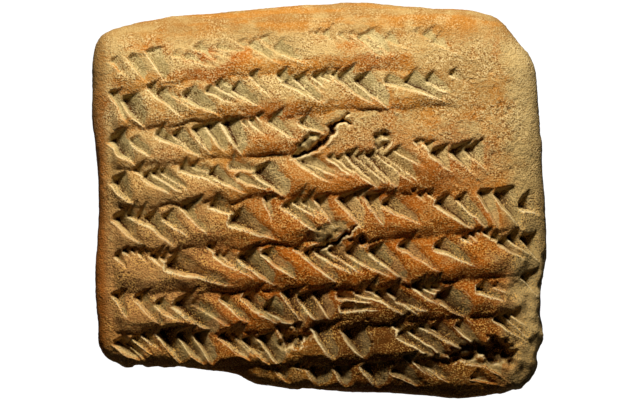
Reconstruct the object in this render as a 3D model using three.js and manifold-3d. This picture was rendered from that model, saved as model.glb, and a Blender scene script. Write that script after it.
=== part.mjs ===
// A small clay tablet, lying on its back with the inscribed face up. Millimetres, +Z up.
// X runs along the rows of strokes, Y from the lower edge to the upper edge.
// The origin is on the surface it lies on, under the middle of its outline.

import * as THREE from "three";
import { ConvexGeometry } from "three/addons/geometries/ConvexGeometry.js";
import { mergeVertices } from "three/addons/utils/BufferGeometryUtils.js";
import Module from "manifold-3d";

// ---- Driving dimensions -------------------------------------------------------------------

const WIDTH = 56; // along the rows
const HEIGHT = 48.6; // across the rows
const FACE_RIM = 8.6; // height of the face above the widest level, near its edges
const FACE_DOME = 1.2; // how much more it rises in the middle
const BACK_RIM = 8.35; // the same below the widest level
const BACK_DOME = 2.2;
const REST_CUT = 0.35; // depth of the flat spot that the tablet lies on
const WIDEST_Z = BACK_RIM + BACK_DOME - REST_CUT;

// How square each edge of the face is in section: an ellipse has 2, and a sharp corner has a
// large number. The back is rounder, and the same all round.
const EDGE_SQUARENESS = { right: 7.5, top: 6.5, left: 9, bottom: 11 };
const BACK_SQUARENESS = 3.2;
const SIDE_BLEND = 6; // how quickly one edge's section turns into the next at a corner

// Points that the outline passes through, anticlockwise from the fullest part of the right edge.
const OUTLINE = [
  [28.0, -5.8],
  [27.4, 5.6],
  [26.9, 12.4],
  [26.1, 17.4],
  [24.3, 19.8],
  [22.4, 22.2],
  [20.4, 23.2], // end of the snapped upper right corner
  [16.2, 23.7],
  [2.8, 24.3],
  [-12.0, 23.4],
  [-19.4, 22.6],
  [-24.5, 21.5],
  [-26.9, 20.4],
  [-27.8, 18.6],
  [-28.0, 13.0],
  [-27.4, 0.2],
  [-27.6, -9.0],
  [-27.4, -15.4],
  [-27.1, -18.0],
  [-26.0, -19.5],
  [-22.9, -20.25],
  [-21.1, -20.0], // a small dent in the lower edge
  [-16.4, -20.4],
  [-10.5, -21.2],
  [-7.2, -22.3],
  [4.3, -23.4],
  [12.0, -23.7],
  [17.6, -24.3],
  [22.4, -23.6],
  [25.4, -22.4],
  [26.6, -20.8],
  [26.8, -18.4], // a dent where the lower right edge is chipped
  [27.5, -16.2],
  [27.1, -13.2],
];
const OUTLINE_SAMPLES = 720;

// Grid of the smooth blank: columns along X, Y and Z, set closer together near the edges.
const GRID = { x: 22, y: 19, z: 8 };
const GRID_SPREAD = 1.3; // column width in the middle, as a share of an even one

// ---- Rows of strokes ----------------------------------------------------------------------

// Each row hangs from a head line, given by its height at three places, and is pressed more or
// less deeply. Some stretches hold only one kind of group.
const HEAD_LINE_X = { left: -25.8, middle: -2.3, right: 22.3 };
const ROWS = [
  { left: 17.6, middle: 20.9, right: 21.2, from: -25.6, to: 14.5, press: 0.55 },
  { left: 13.1, middle: 15.9, right: 15.4, from: -25.6, to: 18.5, press: 0.95 },
  { left: 8.3, middle: 10.7, right: 11.7, from: -25.6, to: 1.5, press: 1.0 },
  { left: 3.6, middle: 6.0, right: 7.6, from: -25.4, to: 18.5, press: 1.05 },
  { left: -1.0, middle: 0.5, right: 1.3, from: -25.2, to: 26.6, press: 1.1 },
  { left: -6.2, middle: -5.2, right: -3.7, from: -25.2, to: 26.6, press: 1.15 },
  { left: -11.3, middle: -10.8, right: -9.2, from: -25.2, to: 26.6, press: 1.2 },
  { left: -16.1, middle: -15.5, right: -13.8, from: -25.0, to: -2.0, press: 1.3 },
  { left: -16.1, middle: -15.5, right: -13.8, from: -0.5, to: 8.0, press: 1.1, only: "peak" },
  { left: -16.1, middle: -15.5, right: -13.8, from: 9.0, to: 25.6, press: 1.25 },
  { left: -19.9, middle: -20.1, right: -19.8, from: -11.0, to: -2.0, press: 1.0 },
  { left: -20.2, middle: -20.2, right: -19.8, from: -1.0, to: 8.0, press: 0.9, only: "peak" },
  { left: -20.1, middle: -19.4, right: -18.6, from: 9.0, to: 22.5, press: 1.0 },
];

// Kinds of stroke group. Angles are in degrees from +X; lengths, widths, depths and steps in mm.
// A group's strokes stand a step apart, and "down" moves each one below the last.
const GROUPS = {
  fan: {
    share: 30, count: [3, 4], step: [0.95, 1.35], down: 0.05,
    angle: [-42, -26], length: [3.3, 4.5], width: [1.5, 2.1], depth: 0.95,
  },
  pair: {
    share: 19, count: [2, 2], step: [1.9, 2.7], down: 0.1,
    angle: [-42, -28], length: [3.9, 5.1], width: [2.0, 2.8], depth: 1.05,
  },
  single: {
    share: 12, count: [1, 1], step: [2.5, 3.3], down: 0,
    angle: [-34, -20], length: [4.5, 5.9], width: [2.3, 3.0], depth: 1.15,
  },
  steep: {
    share: 17, count: [1, 3], step: [1.7, 2.4], down: 0,
    angle: [-62, -46], length: [3.3, 4.5], width: [1.8, 2.6], depth: 1.1,
  },
  level: {
    share: 8, count: [1, 2], step: [0.5, 0.9], down: 1.7,
    angle: [-18, -8], length: [4.0, 5.2], width: [1.2, 1.8], depth: 0.8,
  },
  hook: {
    share: 6, count: [1, 1], step: [1.7, 2.1], down: 0.3,
    angle: [-52, -42], length: [2.6, 3.1], width: [2.2, 2.8], depth: 1.1,
  },
  nick: {
    share: 10, count: [2, 4], step: [0.7, 1.0], down: 0,
    angle: [-56, -34], length: [1.3, 2.1], width: [0.9, 1.4], depth: 0.75,
  },
  peak: {
    share: 0, count: [2, 3], step: [2.9, 3.5], down: 0,
    angle: [-64, -56], length: [4.0, 4.8], width: [2.4, 3.0], depth: 1.5,
  },
};
const ROW_SEED = 1187;
const HEADS_RAISED = 0.5; // how far the heads reach above their head line
const STROKE_JITTER = 0.4; // and how far each strays above or below that
const ANGLE_JITTER = 11; // how far a stroke turns from its group's angle, in degrees
const UNEVEN_SIZE = [0.65, 1.35]; // a stroke's size, as a share of its group's
const UNEVEN_STEP = [0.8, 1.25]; // and its step to the next stroke
const GROUP_GAP = [0.0, 0.5]; // gap to the next group, as a share of a stroke's run along X

// A stroke's rim as shares of its width, along (t) and across (n) its own line, from its deepest
// point: a broad head at the upper left, closed by the tail.
const HEAD_RIM = [
  { t: -0.12, n: -0.22 },
  { t: -0.22, n: 0.14 },
  { t: 0.2, n: 1.0 },
];
const STYLUS_RAISE = 1.9; // how far the stylus body continues its own faces above the clay
const MIN_CUT_DEPTH = 0.35; // fainter strokes than this leave no edge in the solid
const LAST_REACH = 0.975; // no stroke is deepest beyond this share of the way to the outline

// Breaks in the face: flattened ellipsoids, by centre, half sizes and turn about Z in degrees.
const BREAKS = [
  { at: [-1.5, 6.3], half: [2.1, 0.7, 1.7], turn: 22 }, // upper crack, wider part
  { at: [1.7, 9.0], half: [2.5, 0.45, 1.5], turn: 52 }, // upper crack, narrower part
  { at: [2.0, -4.6], half: [3.1, 0.4, 1.1], turn: 33 }, // lower crack
  { at: [21.6, -18.3], half: [2.2, 1.4, 1.6], turn: -10 }, // hollow at the lower right
];
const BREAK_FACETS = { around: 10, down: 6 };

const CLAY = { color: 0xb9814a, roughness: 0.92, metalness: 0 };
const WELD = 1e-4; // corners closer than this are the same corner
const SIMPLIFY = 0.03; // edges shorter than this are collapsed after the cuts

// ---- Small helpers ------------------------------------------------------------------------

const radians = THREE.MathUtils.degToRad;

// A repeatable stream of numbers from 0 to 1.
class Dice {
  constructor(seed) {
    this.state = seed;
  }

  roll() {
    this.state = (this.state * 1664525 + 1013904223) % 4294967296;
    return this.state / 4294967296;
  }

  between([low, high]) {
    return low + (high - low) * this.roll();
  }

  whole([low, high]) {
    return Math.min(high, Math.floor(this.between([low, high + 1])));
  }

  pick(choices) {
    let left = this.roll() * choices.reduce((sum, choice) => sum + choice.share, 0);
    for (const choice of choices) {
      left -= choice.share;
      if (left < 0) return choice;
    }
    return choices.at(-1);
  }
}

// ---- The smooth blank ---------------------------------------------------------------------

// Distance from the middle to the outline in each direction, as a function of the angle.
function outlineReach() {
  const corners = OUTLINE.map(([x, y]) => new THREE.Vector3(x, y, 0));
  const curve = new THREE.CatmullRomCurve3(corners, true, "centripetal");
  const polar = curve
    .getPoints(OUTLINE_SAMPLES)
    .slice(0, -1)
    .map((p) => ({ angle: Math.atan2(p.y, p.x), reach: Math.hypot(p.x, p.y) }))
    .sort((a, b) => a.angle - b.angle);
  const last = polar.at(-1);
  const ring = [{ ...last, angle: last.angle - 2 * Math.PI }, ...polar];
  ring.push({ ...polar[0], angle: polar[0].angle + 2 * Math.PI });
  return (angle) => {
    let low = 0;
    let high = ring.length - 1;
    while (high - low > 1) {
      const middle = (low + high) >> 1;
      if (ring[middle].angle <= angle) low = middle;
      else high = middle;
    }
    const share = (angle - ring[low].angle) / (ring[high].angle - ring[low].angle);
    return THREE.MathUtils.lerp(ring[low].reach, ring[high].reach, share);
  };
}

const reach = outlineReach();

// Squareness of the section in the direction of (x, y).
function squareness(x, y) {
  const across = (2 * x) / WIDTH;
  const up = (2 * y) / HEIGHT;
  const weights = {
    right: Math.max(across, 0) ** SIDE_BLEND,
    left: Math.max(-across, 0) ** SIDE_BLEND,
    top: Math.max(up, 0) ** SIDE_BLEND,
    bottom: Math.max(-up, 0) ** SIDE_BLEND,
  };
  let sum = 0;
  let total = 0;
  for (const [side, weight] of Object.entries(weights)) {
    sum += weight * EDGE_SQUARENESS[side];
    total += weight;
  }
  return total > 0 ? sum / total : EDGE_SQUARENESS.top;
}

// Height of the clay over or under the widest level where the section is full, at (x, y).
function fullHeight(x, y, rim, dome) {
  const inwards = (2 * x) / WIDTH;
  const upwards = (2 * y) / HEIGHT;
  return rim + dome * Math.max(0, 1 - inwards ** 2 - upwards ** 2);
}

// How far (x, y) is from the middle, as a share of the way to the outline.
function shareOfReach(x, y) {
  return Math.hypot(x, y) / reach(Math.atan2(y, x));
}

// Height of the face above (x, y), for strokes and breaks to start from.
function faceHeight(x, y) {
  const n = squareness(x, y);
  const left = Math.max(0, 1 - shareOfReach(x, y) ** n) ** (1 / n);
  return WIDEST_Z + fullHeight(x, y, FACE_RIM, FACE_DOME) * left;
}

// Packs a cube's grid lines, from -1 to 1, closer together towards both ends.
function spread(place) {
  return place * (GRID_SPREAD - (GRID_SPREAD - 1) * place ** 2);
}

// Moves a point of a cube from -1 to 1 to its place on the tablet.
function shapeOfClay(point) {
  const square = Math.max(Math.abs(point.x), Math.abs(point.y), 1e-9);
  const x = (point.x * WIDTH) / 2;
  const y = (point.y * HEIGHT) / 2;
  const n = point.z > 0 ? squareness(x, y) : BACK_SQUARENESS;
  const section = (square ** n + Math.abs(point.z) ** n) ** (1 / n);
  const boxReach = Math.hypot(x, y) / square;
  const scale = boxReach > 0 ? reach(Math.atan2(y, x)) / boxReach / section : 0;
  const height = point.z > 0
    ? fullHeight(x * scale, y * scale, FACE_RIM, FACE_DOME)
    : fullHeight(x * scale, y * scale, BACK_RIM, BACK_DOME);
  return new THREE.Vector3(
    x * scale,
    y * scale,
    Math.max(0, WIDEST_Z + (height * point.z) / section),
  );
}

function blank() {
  const geometry = new THREE.BoxGeometry(2, 2, 2, GRID.x, GRID.y, GRID.z);
  const places = geometry.getAttribute("position");
  for (let i = 0; i < places.count; i++) {
    const corner = new THREE.Vector3(places.getX(i), places.getY(i), places.getZ(i));
    const placed = shapeOfClay(new THREE.Vector3(...corner.toArray().map(spread)));
    places.setXYZ(i, placed.x, placed.y, placed.z);
  }
  return geometry;
}

// ---- Strokes ------------------------------------------------------------------------------

// Height of a row's head line at x: a parabola through its three stated heights.
function headLine(row, x) {
  const { left, middle, right } = HEAD_LINE_X;
  const nearLeft = ((x - middle) * (x - right)) / ((left - middle) * (left - right));
  const nearMiddle = ((x - left) * (x - right)) / ((middle - left) * (middle - right));
  const nearRight = ((x - left) * (x - middle)) / ((right - left) * (right - middle));
  return row.left * nearLeft + row.middle * nearMiddle + row.right * nearRight;
}

// A stroke's rim in the plane of the clay, from its deepest point: the head, then the tail.
function rimOf({ length, width, angle }) {
  const along = { x: Math.cos(radians(angle)), y: Math.sin(radians(angle)) };
  const corners = HEAD_RIM.map(({ t, n }) => ({ t: t * width, n: n * width }));
  corners.push({ t: length, n: 0 });
  return corners.map(({ t, n }) => ({
    x: along.x * t - along.y * n,
    y: along.y * t + along.x * n,
  }));
}

// The strokes of one row, group after group, from its start to its end.
function rowOfStrokes(row, dice) {
  const strokes = [];
  let x = row.from;
  while (x < row.to) {
    const group = row.only ? GROUPS[row.only] : dice.pick(Object.values(GROUPS));
    const count = dice.whole(group.count);
    const step = dice.between(group.step);
    const angle = dice.between(group.angle);
    const length = dice.between(group.length);
    const width = dice.between(group.width);
    for (let i = 0; i < count && x < row.to; i++) {
      const turned = angle + dice.between([-ANGLE_JITTER, ANGLE_JITTER]);
      const size = dice.between(UNEVEN_SIZE);
      const stroke = {
        angle: turned,
        length: length * size,
        width: width * size,
        depth: group.depth * row.press * size,
      };
      const top = Math.max(...rimOf(stroke).map((corner) => corner.y));
      const stray = dice.between([-STROKE_JITTER, STROKE_JITTER]);
      const y = headLine(row, x) + HEADS_RAISED - top - i * group.down + stray;
      strokes.push({ ...stroke, x, y });
      x += step * dice.between(UNEVEN_STEP);
    }
    x += length * Math.cos(radians(angle)) * dice.between(GROUP_GAP);
  }
  return strokes;
}

// The outward normal of the face above (x, y).
function faceNormal(x, y) {
  const near = 0.2;
  const slopeX = (faceHeight(x + near, y) - faceHeight(x - near, y)) / (2 * near);
  const slopeY = (faceHeight(x, y + near) - faceHeight(x, y - near)) / (2 * near);
  return new THREE.Vector3(-slopeX, -slopeY, 1).normalize();
}

// The stylus corner that makes one stroke: a pyramid standing on its point in the clay.
function stylusCorner(stroke) {
  const surface = new THREE.Vector3(stroke.x, stroke.y, faceHeight(stroke.x, stroke.y));
  const normal = faceNormal(stroke.x, stroke.y);
  const turn = new THREE.Quaternion().setFromUnitVectors(new THREE.Vector3(0, 0, 1), normal);
  const point = new THREE.Vector3(0, 0, -stroke.depth);
  const corners = rimOf(stroke).map(({ x, y }) =>
    new THREE.Vector3(x, y, 0).sub(point).multiplyScalar(STYLUS_RAISE).add(point),
  );
  return new ConvexGeometry(
    [point, ...corners].map((corner) => corner.applyQuaternion(turn).add(surface)),
  );
}

function breakInFace({ at: [x, y], half: [along, across, deep], turn }) {
  return new THREE.SphereGeometry(1, BREAK_FACETS.around, BREAK_FACETS.down)
    .rotateX(Math.PI / 2)
    .scale(along, across, deep)
    .rotateZ(radians(turn))
    .translate(x, y, faceHeight(x, y));
}

// ---- Solids -------------------------------------------------------------------------------

const wasm = await Module();
wasm.setup();

function solid(geometry) {
  geometry.deleteAttribute("normal");
  geometry.deleteAttribute("uv");
  const merged = mergeVertices(geometry, WELD);
  return new wasm.Manifold(
    new wasm.Mesh({
      numProp: 3,
      vertProperties: merged.getAttribute("position").array,
      triVerts: new Uint32Array(merged.index.array),
    }),
  );
}

function geometryOf(made) {
  const { vertProperties, triVerts } = made.getMesh();
  return new THREE.BufferGeometry()
    .setAttribute("position", new THREE.BufferAttribute(vertProperties, 3))
    .setIndex(new THREE.BufferAttribute(triVerts, 1));
}

function inscribedTablet() {
  const dice = new Dice(ROW_SEED);
  const strokes = ROWS.flatMap((row) => rowOfStrokes(row, dice));
  const cutters = strokes
    .filter(({ x, y, depth }) => depth > MIN_CUT_DEPTH && shareOfReach(x, y) < LAST_REACH)
    .map((stroke) => solid(stylusCorner(stroke)));
  cutters.push(...BREAKS.map((hollow) => solid(breakInFace(hollow))));
  return solid(blank()).subtract(wasm.Manifold.union(cutters)).simplify(SIMPLIFY);
}

const tablet = new THREE.Mesh(
  geometryOf(inscribedTablet()),
  new THREE.MeshStandardMaterial(CLAY),
);
tablet.name = "tablet";

const object = new THREE.Group();
object.add(tablet);
export default object;
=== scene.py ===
"""A small clay tablet with rows of pressed wedge strokes, lying on its back on a pale floor.

Lengths in the classes are in millimetres, and a finished mesh is scaled to metres. X runs along
the rows, Y from the lower edge to the upper edge and Z up out of the inscribed face.
"""

import logging
import math
from dataclasses import dataclass, field, replace
from enum import Enum
from functools import partial
from itertools import product
from typing import Callable, Iterable, Iterator, Sequence

import bmesh
import bpy
import numpy as np
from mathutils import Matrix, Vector


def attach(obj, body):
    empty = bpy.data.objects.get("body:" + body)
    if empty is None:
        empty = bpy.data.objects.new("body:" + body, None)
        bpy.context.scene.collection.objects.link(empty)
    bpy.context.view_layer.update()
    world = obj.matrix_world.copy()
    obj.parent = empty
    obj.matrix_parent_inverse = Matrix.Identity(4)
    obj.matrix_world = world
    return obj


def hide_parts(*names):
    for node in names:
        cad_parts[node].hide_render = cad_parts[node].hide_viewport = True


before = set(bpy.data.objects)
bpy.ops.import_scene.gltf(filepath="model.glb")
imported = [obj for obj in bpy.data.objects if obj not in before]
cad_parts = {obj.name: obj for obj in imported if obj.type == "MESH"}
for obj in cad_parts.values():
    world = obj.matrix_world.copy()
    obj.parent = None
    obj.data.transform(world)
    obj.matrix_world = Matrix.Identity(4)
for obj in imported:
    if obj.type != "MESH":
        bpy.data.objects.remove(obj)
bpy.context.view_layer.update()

MM = 0.001
TINY = 1e-12  # these two keep divisions away from zero
SMALL = 1e-9
UP = Vector((0.0, 0.0, 1.0))
log = logging.getLogger("tablet")

Pair = tuple[float, float]
Layer = tuple[float | Sequence[float], float]  # the period of some lumps, and their height


# ---- Chance, the same on every run ----------------------------------------------------------


class Dice:
    """A repeatable stream of numbers, which lays the rows out as they are in the solid."""

    TIMES = 1664525
    PLUS = 1013904223
    RANGE = 2**32

    def __init__(self, seed: int) -> None:
        """Starts the stream at a seed."""
        self.state = seed

    def roll(self) -> float:
        """Returns the next number from 0 to 1."""
        self.state = (self.state * self.TIMES + self.PLUS) % self.RANGE
        return self.state / self.RANGE

    def between(self, low: float, high: float) -> float:
        """Returns a number from low to high."""
        return low + (high - low) * self.roll()

    def whole(self, low: int, high: int) -> int:
        """Returns a whole number from low to high, both included."""
        return min(high, math.floor(self.between(low, high + 1)))

    def pick(self, choices: Sequence["Group"]) -> "Group":
        """Picks one of the choices, each as likely as its share.

        Args:
            choices: The groups to pick from.

        Returns:
            The one that is picked.
        """
        left = self.roll() * sum(choice.share for choice in choices)
        for choice in choices:
            left -= choice.share
            if left < 0:
                return choice
        return choices[-1]


class Lumps:
    """Smooth random lumps through space, from -1 to 1."""

    STRENGTH = 1.6  # brings the steepest of them to about 1
    SCATTER = (73856093, 19349663, 83492791)  # primes that pick a slope for each corner in space

    def __init__(self, seed: int, size: int = 4096) -> None:
        """Draws the slopes of the lumps.

        Args:
            seed: What the slopes are drawn from.
            size: How many slopes there are before they repeat, a power of two.
        """
        slopes = np.random.default_rng(seed).normal(size=(size, 3))
        self.slopes = slopes / np.linalg.norm(slopes, axis=1, keepdims=True)

    def at(
        self, places: np.ndarray, period: float | Sequence[float], apart: float = 0.0
    ) -> np.ndarray:
        """Measures the lumps.

        Args:
            places: Points in millimetres, one a row.
            period: The width of a lump, one number or one along each axis.
            apart: A shift of the points, which gives lumps unlike those at another shift.

        Returns:
            One number for each point.
        """
        scaled = (places + apart) / np.asarray(period, float)
        cell = np.floor(scaled).astype(np.int64)
        part = scaled - cell
        ease = part**3 * (part * (part * 6 - 15) + 10)
        total = np.zeros(len(places))
        for corner in product((0, 1), repeat=3):
            across, along, up = ((cell + corner) * self.SCATTER).T
            key = across ^ along ^ up
            slope = self.slopes[key & (len(self.slopes) - 1)]
            share = np.prod(np.where(corner, ease, 1 - ease), axis=1)
            total += share * np.einsum("ij,ij->i", slope, part - corner)
        return total * self.STRENGTH

    def layers(
        self, places: np.ndarray, layers: Sequence[Layer], apart: float = 0.0
    ) -> np.ndarray:
        """Adds up several layers of lumps.

        Args:
            places: Points in millimetres, one a row.
            layers: The period and the height of each layer.
            apart: As for at.

        Returns:
            One number for each point.
        """
        return sum(height * self.at(places, period, apart) for period, height in layers)


def step(low: float, high: float, value: np.ndarray) -> np.ndarray:
    """Eases from 0 at low to 1 at high."""
    share = np.clip((value - low) / (high - low), 0, 1)
    return share * share * (3 - 2 * share)


# ---- The lump of clay -----------------------------------------------------------------------


@dataclass(frozen=True)
class Squareness:
    """How square each edge is in section: an ellipse has 2, a sharp corner a large number."""

    right: float = 7.5
    top: float = 6.5
    left: float = 9.0
    bottom: float = 11.0
    back: float = 3.2  # below the widest level, the same all round
    blend: float = 6.0  # how quickly one edge's section turns into the next at a corner


@dataclass
class Lump:
    """The smooth pillow of clay before anything is pressed into it."""

    width: float = 56.0
    height: float = 48.6
    face_rim: float = 8.6  # height of the face above the widest level, near its edges
    face_dome: float = 1.2  # how much more it rises in the middle
    back_rim: float = 8.35
    back_dome: float = 2.2
    rest_cut: float = 0.35  # depth of the flat spot that the tablet lies on
    edges: Squareness = field(default_factory=Squareness)
    outline: tuple[Pair, ...] = (
        (28.0, -5.8),
        (27.4, 5.6),
        (26.9, 12.4),
        (26.1, 17.4),
        (24.3, 19.8),
        (22.4, 22.2),
        (20.4, 23.2),  # end of the snapped upper right corner
        (16.2, 23.7),
        (2.8, 24.3),
        (-12.0, 23.4),
        (-19.4, 22.6),
        (-24.5, 21.5),
        (-26.9, 20.4),
        (-27.8, 18.6),
        (-28.0, 13.0),
        (-27.4, 0.2),
        (-27.6, -9.0),
        (-27.4, -15.4),
        (-27.1, -18.0),
        (-26.0, -19.5),
        (-22.9, -20.25),
        (-21.1, -20.0),  # a small dent in the lower edge
        (-16.4, -20.4),
        (-10.5, -21.2),
        (-7.2, -22.3),
        (4.3, -23.4),
        (12.0, -23.7),
        (17.6, -24.3),
        (22.4, -23.6),
        (25.4, -22.4),
        (26.6, -20.8),
        (26.8, -18.4),  # a dent where the lower right edge is chipped
        (27.5, -16.2),
        (27.1, -13.2),
    )
    samples: int = 20  # points on the outline's curve between two of these

    def __post_init__(self) -> None:
        """Works out the levels, and turns the outline into a table of distance by direction."""
        self.widest = self.back_rim + self.back_dome - self.rest_cut
        self.thickness = self.widest + self.face_rim + self.face_dome
        curve = self._curve(np.array(self.outline))
        angles = np.arctan2(curve[:, 1], curve[:, 0])
        order = np.argsort(angles)
        self._angles = angles[order]
        self._reaches = np.hypot(curve[:, 0], curve[:, 1])[order]

    def _curve(self, corners: np.ndarray) -> np.ndarray:
        """Runs a closed centripetal curve through the corners.

        Args:
            corners: The outline's corners in order, one a row.

        Returns:
            Points along the curve, one a row.
        """
        before, start, end, after = (np.roll(corners, shift, axis=0) for shift in (1, 0, -1, -2))
        gaps = [
            np.sqrt(np.linalg.norm(b - a, axis=1, keepdims=True))
            for a, b in ((before, start), (start, end), (end, after))
        ]
        first = (start - before) / gaps[0] - (end - before) / (gaps[0] + gaps[1])
        first = (first + (end - start) / gaps[1]) * gaps[1]
        second = (end - start) / gaps[1] - (after - start) / (gaps[1] + gaps[2])
        second = (second + (after - end) / gaps[2]) * gaps[1]
        points = []
        for share in np.arange(self.samples) / self.samples:
            square = share * share * (3 * (end - start) - 2 * first - second)
            cube = share**3 * (2 * (start - end) + first + second)
            points.append(start + share * first + square + cube)
        return np.concatenate(points)

    def reach(self, x: np.ndarray, y: np.ndarray) -> np.ndarray:
        """Returns how far the outline is in the direction of (x, y)."""
        return np.interp(np.arctan2(y, x), self._angles, self._reaches, period=2 * math.pi)

    def squareness(self, x: np.ndarray, y: np.ndarray) -> np.ndarray:
        """Mixes the squareness of the edges that a place is nearest to.

        Args:
            x: How far to the right of the middle each place is.
            y: How far up from the middle it is.

        Returns:
            The squareness of the section in the direction of each place.
        """
        across = 2 * x / self.width
        along = 2 * y / self.height
        sides = (across, along, -across, -along)
        powers = (self.edges.right, self.edges.top, self.edges.left, self.edges.bottom)
        weights = [np.maximum(side, 0) ** self.edges.blend for side in sides]
        total = sum(weights)
        mixed = sum(weight * power for weight, power in zip(weights, powers))
        return np.where(total > TINY, mixed / np.maximum(total, TINY), self.edges.top)

    def full(self, x: np.ndarray, y: np.ndarray, rim: float, dome: float) -> np.ndarray:
        """Returns the clay's height from the widest level where the section is full."""
        return rim + dome * np.maximum(0, 1 - (2 * x / self.width) ** 2 - (2 * y / self.height) ** 2)

    def face_height(self, x: np.ndarray, y: np.ndarray) -> np.ndarray:
        """Measures the smooth face.

        Args:
            x: How far to the right of the middle each place is.
            y: How far up from the middle it is.

        Returns:
            The height of the face above each place.
        """
        power = self.squareness(x, y)
        left = np.maximum(0, 1 - self.share_of_reach(x, y) ** power) ** (1 / power)
        return self.widest + self.full(x, y, self.face_rim, self.face_dome) * left

    def share_of_reach(self, x: np.ndarray, y: np.ndarray) -> np.ndarray:
        """Returns how far (x, y) is from the middle, as a share of the way to the outline."""
        return np.hypot(x, y) / self.reach(x, y)

    def face_normal(self, x: float, y: float) -> Vector:
        """Finds which way the smooth face points above a place.

        Args:
            x: How far to the right of the middle the place is.
            y: How far up from the middle it is.

        Returns:
            The outward normal there.
        """
        near = 0.2
        slope_x = (self.face_height(x + near, y) - self.face_height(x - near, y)) / (2 * near)
        slope_y = (self.face_height(x, y + near) - self.face_height(x, y - near)) / (2 * near)
        return Vector((-float(slope_x), -float(slope_y), 1.0)).normalized()

    def shape(self, cube: np.ndarray) -> np.ndarray:
        """Moves points of a cube from -1 to 1 to their places on the lump.

        Args:
            cube: Points on the cube, one a row.

        Returns:
            Their places in millimetres.
        """
        square = np.maximum(np.abs(cube[:, :2]).max(axis=1), SMALL)
        x = cube[:, 0] * self.width / 2
        y = cube[:, 1] * self.height / 2
        power = np.where(cube[:, 2] > 0, self.squareness(x, y), self.edges.back)
        section = (square**power + np.abs(cube[:, 2]) ** power) ** (1 / power)
        span = np.maximum(np.hypot(x, y), SMALL)
        scale = self.reach(x, y) * square / span / section
        x, y = x * scale, y * scale
        face = self.full(x, y, self.face_rim, self.face_dome)
        back = self.full(x, y, self.back_rim, self.back_dome)
        z = self.widest + np.where(cube[:, 2] > 0, face, back) * cube[:, 2] / section
        return np.stack([x, y, np.maximum(z, 0)], axis=1)


class Skin:
    """The tablet's surface as points that can be pushed in and out along its normals."""

    BELOW_RIM = 6.0  # how far below the widest level the points count as the face's

    def __init__(self, places: np.ndarray, normals: np.ndarray, lump: Lump) -> None:
        """Starts from the smooth lump.

        Args:
            places: Where each point is on the lump, in millimetres.
            normals: The lump's outward normal at each point.
            lump: The lump that the points lie on.
        """
        self.places = places
        self.normals = normals
        self.lump = lump
        self.swell = np.zeros(len(places))
        self.pressed = np.zeros(len(places))
        self.bared = np.zeros(len(places))
        # where the ridges' lee slopes lie, which the material darkens as painted shade
        self.sheltered = np.zeros(len(places))
        self.face = np.flatnonzero(places[:, 2] > lump.widest - self.BELOW_RIM)

    def points(self, chosen: np.ndarray | slice = slice(None)) -> np.ndarray:
        """Returns where the chosen points are now."""
        return self.places[chosen] + self.normals[chosen] * self.swell[chosen, None]

    def near(self, x: float, y: float, reach: float) -> np.ndarray:
        """Finds the face's points round a place.

        Args:
            x: How far to the right of the middle the place is.
            y: How far up from the middle it is.
            reach: How far from it a point may be along each axis.

        Returns:
            The numbers of the points.
        """
        plan = self.places[self.face]
        close = (np.abs(plan[:, 0] - x) < reach) & (np.abs(plan[:, 1] - y) < reach)
        return self.face[close]

    def push(self, chosen: np.ndarray, depth: np.ndarray) -> None:
        """Pushes the chosen points in, and remembers how far."""
        self.swell[chosen] -= depth
        self.pressed[chosen] += depth

    def raise_by(self, chosen: np.ndarray | slice, height: np.ndarray) -> None:
        """Raises the chosen points."""
        self.swell[chosen] += height

    def bare(self, chosen: np.ndarray, share: np.ndarray) -> None:
        """Marks how far the chosen points are bared to fresh clay, from 0 to 1."""
        self.bared[chosen] = np.maximum(self.bared[chosen], share)


# ---- Rows of strokes ------------------------------------------------------------------------


@dataclass(frozen=True)
class Group:
    """A kind of stroke group; each pair of numbers is a range.

    Angles are in degrees from +X. Strokes stand a step apart, each one "down" below the last.
    """

    share: int
    count: tuple[int, int]
    step: Pair
    down: float
    angle: Pair
    length: Pair
    width: Pair
    depth: float


class Hand(Enum):
    """The groups that the writer makes."""

    FAN = Group(30, (3, 4), (0.95, 1.35), 0.05, (-42, -26), (3.3, 4.5), (1.5, 2.1), 0.95)
    PAIR = Group(19, (2, 2), (1.9, 2.7), 0.1, (-42, -28), (3.9, 5.1), (2.0, 2.8), 1.05)
    SINGLE = Group(12, (1, 1), (2.5, 3.3), 0.0, (-34, -20), (4.5, 5.9), (2.3, 3.0), 1.15)
    STEEP = Group(17, (1, 3), (1.7, 2.4), 0.0, (-62, -46), (3.3, 4.5), (1.8, 2.6), 1.1)
    LEVEL = Group(8, (1, 2), (0.5, 0.9), 1.7, (-18, -8), (4.0, 5.2), (1.2, 1.8), 0.8)
    HOOK = Group(6, (1, 1), (1.7, 2.1), 0.3, (-52, -42), (2.6, 3.1), (2.2, 2.8), 1.1)
    NICK = Group(10, (2, 4), (0.7, 1.0), 0.0, (-56, -34), (1.3, 2.1), (0.9, 1.4), 0.75)
    PEAK = Group(0, (2, 3), (2.9, 3.5), 0.0, (-64, -56), (4.0, 4.8), (2.4, 3.0), 1.5)


HEAD_LINE_PLACES = (-25.8, -2.3, 22.3)  # along X, where a row's three heights are given


@dataclass(frozen=True)
class Row:
    """A row of strokes, which hangs from a head line given by its height at three places."""

    left: float
    middle: float
    right: float
    start: float
    end: float
    press: float
    only: Hand | None = None

    def head_line(self, x: np.ndarray | float) -> np.ndarray | float:
        """Runs a parabola through the three heights.

        Args:
            x: How far to the right of the middle each place is.

        Returns:
            The height of the head line there.
        """
        left, middle, right = HEAD_LINE_PLACES
        near_left = (x - middle) * (x - right) / ((left - middle) * (left - right))
        near_middle = (x - left) * (x - right) / ((middle - left) * (middle - right))
        near_right = (x - left) * (x - middle) / ((right - left) * (right - middle))
        return self.left * near_left + self.middle * near_middle + self.right * near_right


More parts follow.
